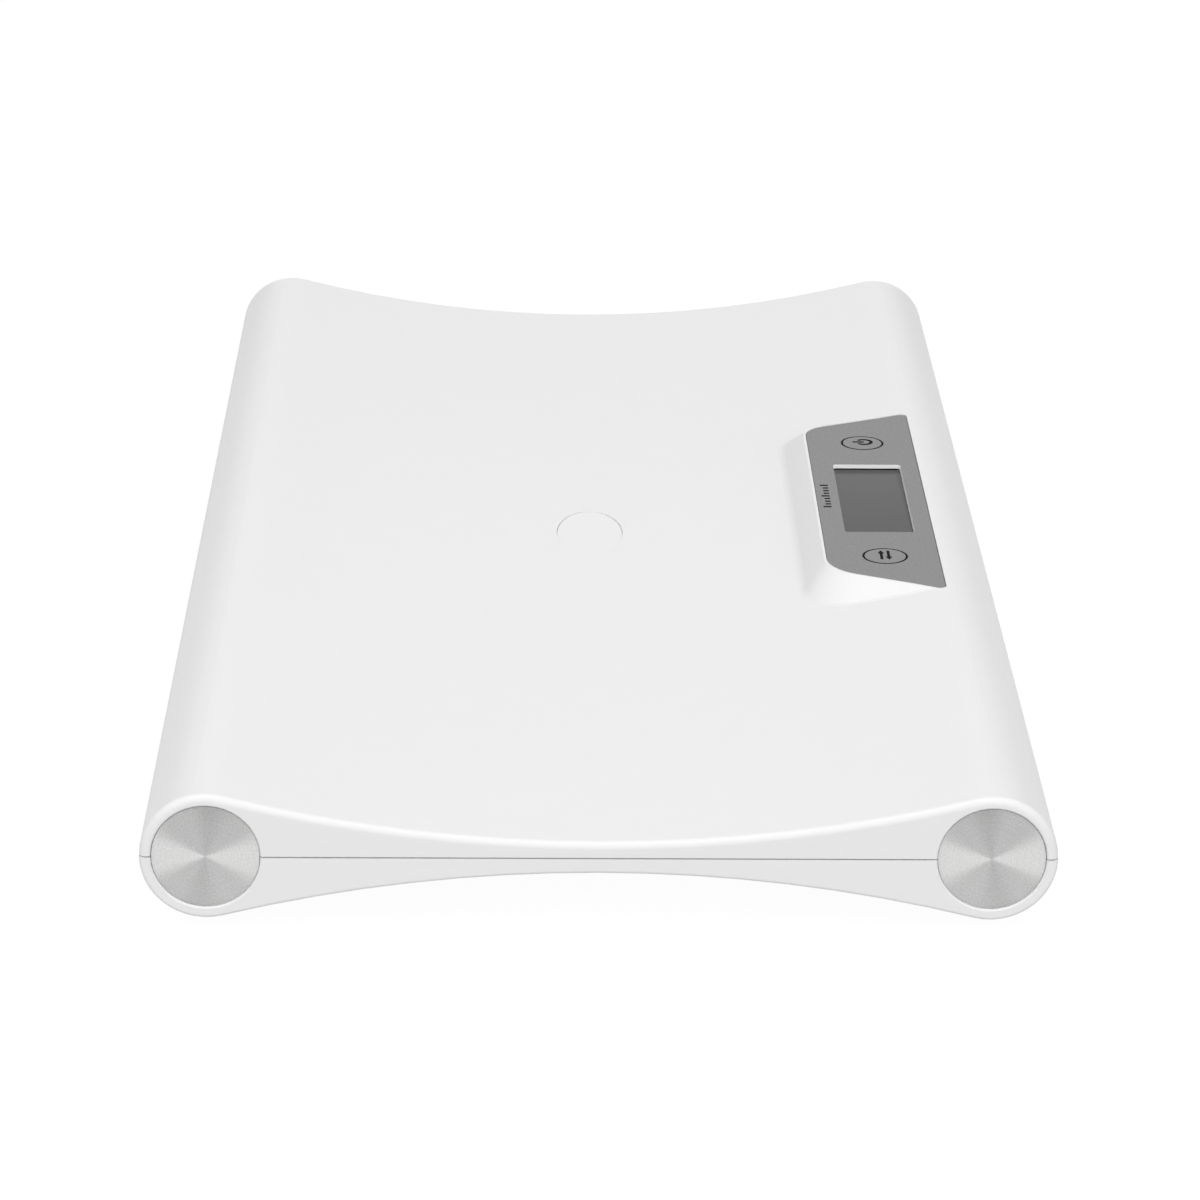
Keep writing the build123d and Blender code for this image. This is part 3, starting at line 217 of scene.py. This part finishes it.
def ranged(tree, value, start, end, low=0.0, high=1.0):
    """Low at the start of a range, high at its end, and even in between."""
    inputs = {"Value": value, "From Min": start, "From Max": end, "To Min": low, "To Max": high}
    return node(tree, "ShaderNodeMapRange", inputs).outputs["Result"]


def grain(tree, scale, detail=2.0):
    """Noise in the object's own metres."""
    place = node(tree, "ShaderNodeTexCoord")
    inputs = {"Vector": place.outputs["Object"], "Scale": scale, "Detail": detail}
    return node(tree, "ShaderNodeTexNoise", inputs).outputs["Fac"]


def spread(tree, noise, low, high):
    """Noise brought to a range of its own."""
    return ranged(tree, noise, *noise_range, low, high)


def mixed(tree, factor, first, second, blend="MIX"):
    """Mix of two colours."""
    inputs = {"Factor": factor, "A": first, "B": second}
    return node(tree, "ShaderNodeMix", inputs, data_type="RGBA", blend_type=blend).outputs["Result"]


def relief(tree, height, strength):
    """Normal of a surface with a fine bump."""
    inputs = {"Strength": strength, "Distance": relief_depth, "Height": height}
    return node(tree, "ShaderNodeBump", inputs).outputs["Normal"]


def by_slope(tree, low, high):
    """1 where the surface's own normal leans between low and high on Z, and 0 elsewhere."""
    lean = axes(tree, "Normal")["Z"]
    above = calculate(tree, "GREATER_THAN", lean, low)
    below = calculate(tree, "LESS_THAN", lean, high)
    return calculate(tree, "MULTIPLY", above, below)


def near_keys(tree, reach):
    """1 within reach of either key's axis, and 0 elsewhere."""
    place = axes(tree, "Object")
    from_middle = calculate(tree, "ABSOLUTE", calculate(tree, "SUBTRACT", place["X"], window_x))
    along = calculate(tree, "SUBTRACT", from_middle, (power_x - unit_x) / 2)
    across = calculate(tree, "SUBTRACT", place["Y"], key_y)
    return calculate(tree, "LESS_THAN", sum_of_squares(tree, along, across), reach * reach)


# ---- materials ----------------------------------------------------------------------------
def new_material(name):
    material = bpy.data.materials.new(name)
    material.use_nodes = True
    return material


def shader_of(material):
    return material.node_tree.nodes["Principled BSDF"]


def surface(color, roughness, metallic=0.0, contrast=0.03, fineness=900.0, bump=0.02, specular=0.5):
    """Material with fine variation of colour, roughness and height."""
    material = new_material("surface")
    tree = material.node_tree
    broad = grain(tree, fineness / patch_breadth)
    fine = grain(tree, fineness, detail=4.0)
    feed(tree, shader_of(material), {
        "Base Color": mixed(tree, broad, shade(color, 1 - contrast), shade(color, 1 + contrast)),
        "Roughness": spread(tree, fine, roughness - roughness_spread, roughness + roughness_spread),
        "Normal": relief(tree, fine, bump),
        "Metallic": metallic,
        "Specular IOR Level": specular,
    })
    return material


def recolour(material, mask, color, blend="MIX"):
    """Changes the base colour as far as the mask says."""
    tree = material.node_tree
    shader = shader_of(material)
    plain = shader.inputs["Base Color"].links[0].from_socket
    feed(tree, shader, {"Base Color": mixed(tree, mask, plain, color, blend)})


def spun(color):
    """Metal turned on a lathe: fine rings round the disc's own axis, along X."""
    material = new_material("spun")
    tree = material.node_tree
    # Generated coordinates run from 0 to 1 across the disc
    place = axes(tree, "Generated")
    from_axis = [calculate(tree, "SUBTRACT", place[axis], 0.5) for axis in "YZ"]
    radius = calculate(tree, "SQRT", sum_of_squares(tree, *from_axis))
    inputs = {"W": radius, "Scale": spun_rings, "Detail": 3.0}
    rings = node(tree, "ShaderNodeTexNoise", inputs, noise_dimensions="1D").outputs["Fac"]
    # Speckle breaks the rings up
    sum_of_both = calculate(tree, "ADD", rings, grain(tree, spun_speckle))
    pattern = spread(tree, calculate(tree, "MULTIPLY", sum_of_both, 0.5), 0.0, 1.0)
    tangent = node(tree, "ShaderNodeTangent", direction_type="RADIAL", axis="X")
    feed(tree, shader_of(material), {
        "Base Color": mixed(tree, pattern, *(shade(color, factor) for factor in spun_shades)),
        "Roughness": spread(tree, rings, *spun_roughness),
        "Normal": relief(tree, rings, spun_bump),
        "Metallic": 1.0,
        "Anisotropic": 1.0,
        "Anisotropic Rotation": quarter_turn,
        "Tangent": tangent.outputs[0],
    })
    return material


def blasted(color):
    """Matt face with the fine speckle of bead blasting."""
    material = surface(color, roughness=0.45, contrast=0.01, fineness=blasted_grain, bump=0.2)
    tree = material.node_tree
    shades = [grey(level) for level in blasted_shades]
    recolour(material, 1.0, mixed(tree, grain(tree, blasted_speckle), *shades), "MULTIPLY")
    return material


def bezel(color, edge_and_reflection, dark):
    """Blasted plate whose sloped window edge is painted near-white, partly for its bare cut edge and partly
    as painted reflection, and whose key holes are painted near-black as painted shade.
    """
    material = blasted(color)
    tree = material.node_tree
    # Painted reflection on the sloped window edge, over its bare cut edge
    recolour(material, by_slope(tree, *bevel_slopes), edge_and_reflection)
    # Painted shade: the hole walls and a ring round each hole are turned near-black, where the gap's shade
    # falls
    walls = calculate(tree, "MULTIPLY", by_slope(tree, *wall_slopes), near_keys(tree, hole_reach))
    recolour(material, calculate(tree, "MAXIMUM", walls, near_keys(tree, shade_ring_reach)), dark)
    return material


def key_finish(color, dark):
    """Blasted key face, with its sides and flange painted near-black as painted shade in the gap round the
    key.
    """
    material = blasted(color)
    tree = material.node_tree
    # Painted shade on the key's sides and flange, in the gap round the key
    sides = calculate(tree, "LESS_THAN", axes(tree, "Normal")["Z"], key_face_slope)
    flange = calculate(tree, "LESS_THAN", axes(tree, "Object")["Z"], key_z - key_face_depth)
    recolour(material, calculate(tree, "MAXIMUM", sides, flange), dark)
    return material


def display_surface(near, far, roughness):
    """Dark display layer, painted a little paler towards its far end as painted shade and reflection."""
    material = surface(near, roughness, contrast=0.0, bump=0.01)
    tree = material.node_tree
    # Painted shade and reflection: paler along X towards the far end
    recolour(material, ranged(tree, axes(tree, "Object")["X"], display_near, display_far), far)
    feed(tree, shader_of(material), {"IOR": display_ior})
    return material


materials = {
    "shell_plastic": surface(shell_white, 0.36, **smooth_moulding),
    "badge_plastic": surface(shade(shell_white, 1.01), 0.34, **smooth_moulding),
    "spun_metal": spun((0.9, 0.9, 0.895, 1)),
    "panel_metal": bezel(panel_grey, pale_edge_and_reflection, painted_gap_shade),
    "key_plastic": key_finish(shade(panel_grey, 1.02), painted_gap_shade),
    "print_ink": surface(dark_print, 0.8, fineness=3000.0, specular=0.1),
    "display_glass": display_surface(grey(0.008), grey(0.012), 0.16),
    "display_film": display_surface((0.022, 0.024, 0.022, 1), (0.045, 0.048, 0.045, 1), 0.2),
    "adhesive_foam": surface(grey(0.02), 0.8),
    "inner_plastic": surface((0.75, 0.75, 0.73, 1), 0.5),
    "conductive_rubber": surface((0.5, 0.2, 0.2, 1), 0.6),
    "board_laminate": surface((0.02, 0.13, 0.05, 1), 0.35),
    "chip_plastic": surface(grey(0.015), 0.4),
    "gauge_film": surface((0.5, 0.25, 0.05, 1), 0.3),
    "plated_spring": surface((0.7, 0.7, 0.68, 1), 0.2, metallic=1.0),
    "zinc_steel": surface((0.55, 0.55, 0.54, 1), 0.35, metallic=1.0),
    "cell_steel": surface((0.6, 0.6, 0.58, 1), 0.3, metallic=1.0),
    "lead_sheath": surface((0.3, 0.02, 0.02, 1), 0.4),
    "cell_jacket": surface((0.03, 0.03, 0.035, 1), 0.3),
    "foot_plastic": surface((0.8, 0.8, 0.79, 1), 0.5),
    "foot_rubber": surface(grey(0.06), 0.7),
}
for name, material in materials.items():
    material.name = name
for part in frame["record"]["subparts"]:
    shown = frame["nodes"][part["node"]]
    shown.data.materials.clear()
    shown.data.materials.append(materials[part["material_slot"]])


# ---- printed marks ------------------------------------------------------------------------
def printed(name, body, strokes, height):
    """Raised ink in the shape of strokes; each stroke lists the (x, y) along both of its sides."""
    sheet = bmesh.new()
    for left, right in strokes:
        pairs = [[sheet.verts.new((x, y, height)) for x, y in pair] for pair in zip(left, right)]
        for before, after in zip(pairs, pairs[1:]):
            sheet.faces.new((before[0], before[1], after[1], after[0]))
    for face in sheet.faces:
        face.normal_update()
        if face.normal.z < 0:
            face.normal_flip()
    mesh = bpy.data.meshes.new(name)
    sheet.to_mesh(mesh)
    sheet.free()
    mesh.materials.append(materials["print_ink"])
    piece = bpy.data.objects.new(name, mesh)
    bpy.context.collection.objects.link(piece)
    thick = piece.modifiers.new("thickness", "SOLIDIFY")
    thick.thickness = ink_thickness
    thick.offset = 1.0
    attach(piece, body)


def bar(start, end, breadth, end_breadth=None):
    """Straight stroke between two points, which may taper to another breadth."""
    start, end = Vector(start), Vector(end)
    along = (end - start).normalized()
    side = Vector((-along.y, along.x)) / 2
    stops = ((start, breadth), (end, breadth if end_breadth is None else end_breadth))
    left = [tuple(point + side * wide) for point, wide in stops]
    right = [tuple(point - side * wide) for point, wide in stops]
    return left, right


def arc(center, radius, first, last, breadth):
    """Round stroke between two angles in degrees."""
    turn = last - first
    angles = [math.radians(first + turn * step / arc_steps) for step in range(arc_steps + 1)]
    rings = []
    for reach in (radius + breadth / 2, radius - breadth / 2):
        rings.append([(center[0] + reach * math.cos(a), center[1] + reach * math.sin(a)) for a in angles])
    return rings


def power_mark():
    """A ring open towards +Y, with a bar through the opening."""
    first = 90 + power_ring_gap / 2
    last = 450 - power_ring_gap / 2
    top = (power_at[0], power_at[1] + power_bar)
    strokes = [arc(power_at, power_ring, first, last, stroke), bar(power_at, top, stroke)]
    printed("power_mark", "power_key", strokes, key_z)


def unit_mark():
    """Two arrows, one each way."""
    strokes = []
    for way in (-1, 1):
        middle = Vector((unit_at[0], unit_at[1] + way * arrow_apart))
        half = Vector((way * arrow_half, 0))
        neck = middle + half - Vector((way * arrow_head, 0))
        strokes.append(bar(middle - half, neck, thin_stroke))
        strokes.append(bar(neck, middle + half, arrow_head_breadth, arrow_tip))
    printed("unit_mark", "unit_key", strokes, key_z)


def window_ticks():
    """Row of ticks beside the window, the end ones and the middle one longer."""
    strokes = []
    for step in range(-ticks_each_side, ticks_each_side + 1):
        foot = Vector(tick_at) + Vector((step * tick_pitch, 0))
        reach = short_tick if step % long_tick_every else long_tick
        strokes.append(bar(foot, foot + Vector((0, reach)), stroke))
    printed("window_ticks", "housing", strokes, panel_z)


# ---- camera -------------------------------------------------------------------------------
def place_camera():
    """Camera aimed by the fitted pitch and yaw, and turned about its own axis by the roll."""
    forward = Vector((
        math.cos(camera_yaw) * math.cos(camera_pitch),
        -math.sin(camera_yaw) * math.cos(camera_pitch),
        -math.sin(camera_pitch),
    ))
    level = Vector((-math.sin(camera_yaw), -math.cos(camera_yaw), 0))
    upward = level.cross(forward)
    right = math.cos(camera_roll) * level + math.sin(camera_roll) * upward
    top = math.cos(camera_roll) * upward - math.sin(camera_roll) * level
    data = bpy.data.cameras.new("camera")
    data.lens = camera_lens
    data.sensor_width = sensor_width
    data.clip_start = nearest_seen
    data.clip_end = farthest_seen
    camera = bpy.data.objects.new("camera", data)
    turn = Matrix((right, top, -forward)).transposed().to_4x4()
    camera.matrix_world = Matrix.Translation(camera_place) @ turn
    bpy.context.collection.objects.link(camera)
    bpy.context.scene.camera = camera


# ---- light and floor ----------------------------------------------------------------------
def added(tree, first, second):
    return node(tree, "ShaderNodeAddShader", {0: first.outputs[0], 1: second.outputs[0]})


def mixed_shaders(tree, factor, first, second):
    inputs = {0: factor, 1: first.outputs[0], 2: second.outputs[0]}
    return node(tree, "ShaderNodeMixShader", inputs)


def in_view_or_lit(tree, seen, lit):
    """Shows one shader to camera, glossy and transmitted rays, and the other to the rest."""
    path = node(tree, "ShaderNodeLightPath").outputs
    sight = calculate(tree, "MAXIMUM", path["Is Camera Ray"], path["Is Glossy Ray"])
    sight = calculate(tree, "MAXIMUM", sight, path["Is Transmission Ray"])
    return mixed_shaders(tree, sight, lit, seen)


def is_camera_ray(tree):
    return node(tree, "ShaderNodeLightPath").outputs["Is Camera Ray"]


def light_world():
    """Light that is even but for the front, and a white backdrop for the camera."""
    world = bpy.data.worlds.new("studio")
    bpy.context.scene.world = world
    world.use_nodes = True
    tree = world.node_tree
    way = axes(tree, "Generated")
    from_front = ranged(tree, way["X"], 0.0, -1.0, world_level, world_level + front_level)
    lit = tree.nodes["Background"]
    feed(tree, lit, {"Color": white, "Strength": from_front})
    # The backdrop that metal and gloss see ends on both sides of the view
    backdrop = ranged(tree, way["X"], room_end, backdrop_start, room_level, 1.0)
    aside = calculate(tree, "ABSOLUTE", way["Y"])
    edges = ranged(tree, aside, backdrop_half, backdrop_stop, 1.0, beside_level)
    strength = calculate(tree, "MAXIMUM", calculate(tree, "MULTIPLY", backdrop, edges), is_camera_ray(tree))
    seen = node(tree, "ShaderNodeBackground", {"Color": white, "Strength": strength})
    shown = in_view_or_lit(tree, seen, lit)
    feed(tree, tree.nodes["World Output"], {"Surface": shown.outputs[0]})


def softbox(name, place, size, level):
    """Square lamp aimed at the object; level is what it adds to a surface that faces it."""
    to_lamp = Vector(place)
    data = bpy.data.lights.new(name, "AREA")
    data.shape = "SQUARE"
    data.size = size
    data.energy = level * math.pi ** 2 * to_lamp.length_squared
    lamp = bpy.data.objects.new(name, data)
    lamp.location = place
    lamp.rotation_euler = (-to_lamp).to_track_quat("-Z", "Y").to_euler()
    bpy.context.collection.objects.link(lamp)


def floor_material():
    """Pale in view, duller to the object, and clear from below, where the underside shows."""
    material = new_material("floor")
    tree = material.node_tree
    tree.nodes.remove(shader_of(material))
    lit = node(tree, "ShaderNodeBsdfDiffuse", {"Color": grey(floor_lit)})
    glow = node(tree, "ShaderNodeEmission", {"Strength": floor_glow})
    # The camera sees the floor pale all over, and metal and gloss see it end
    along = axes(tree, "Object")["X"]
    reflected = ranged(tree, along, floor_end - floor_fade, floor_end, room_level, floor_pale)
    in_view = calculate(tree, "MULTIPLY", is_camera_ray(tree), floor_pale)
    strength = calculate(tree, "MAXIMUM", in_view, reflected)
    pale = node(tree, "ShaderNodeEmission", {"Strength": strength})
    shadow = node(tree, "ShaderNodeBsdfDiffuse", {"Color": grey(floor_shadow)})
    above = in_view_or_lit(tree, added(tree, pale, shadow), added(tree, lit, glow))
    clear = node(tree, "ShaderNodeBsdfTransparent")
    from_below = node(tree, "ShaderNodeNewGeometry").outputs["Backfacing"]
    shown = mixed_shaders(tree, from_below, above, clear)
    feed(tree, tree.nodes["Material Output"], {"Surface": shown.outputs[0]})
    return material


def lay_floor():
    mesh = bpy.data.meshes.new("floor")
    corners = ((-1, -1), (1, -1), (1, 1), (-1, 1))
    mesh.from_pydata([(x * floor_half, y * floor_half, 0) for x, y in corners], [], [(0, 1, 2, 3)])
    mesh.materials.append(floor_material())
    floor = bpy.data.objects.new("floor", mesh)
    bpy.context.collection.objects.link(floor)


power_mark()
unit_mark()
window_ticks()
place_camera()
light_world()
softbox("softbox_top", top_place, top_size, top_level)
for name, way in (("softbox_left", 1), ("softbox_right", -1)):
    softbox(name, (side_place[0], way * side_place[1], side_place[2]), side_size, side_level)
lay_floor()
bpy.context.scene.view_settings.view_transform = "Standard"
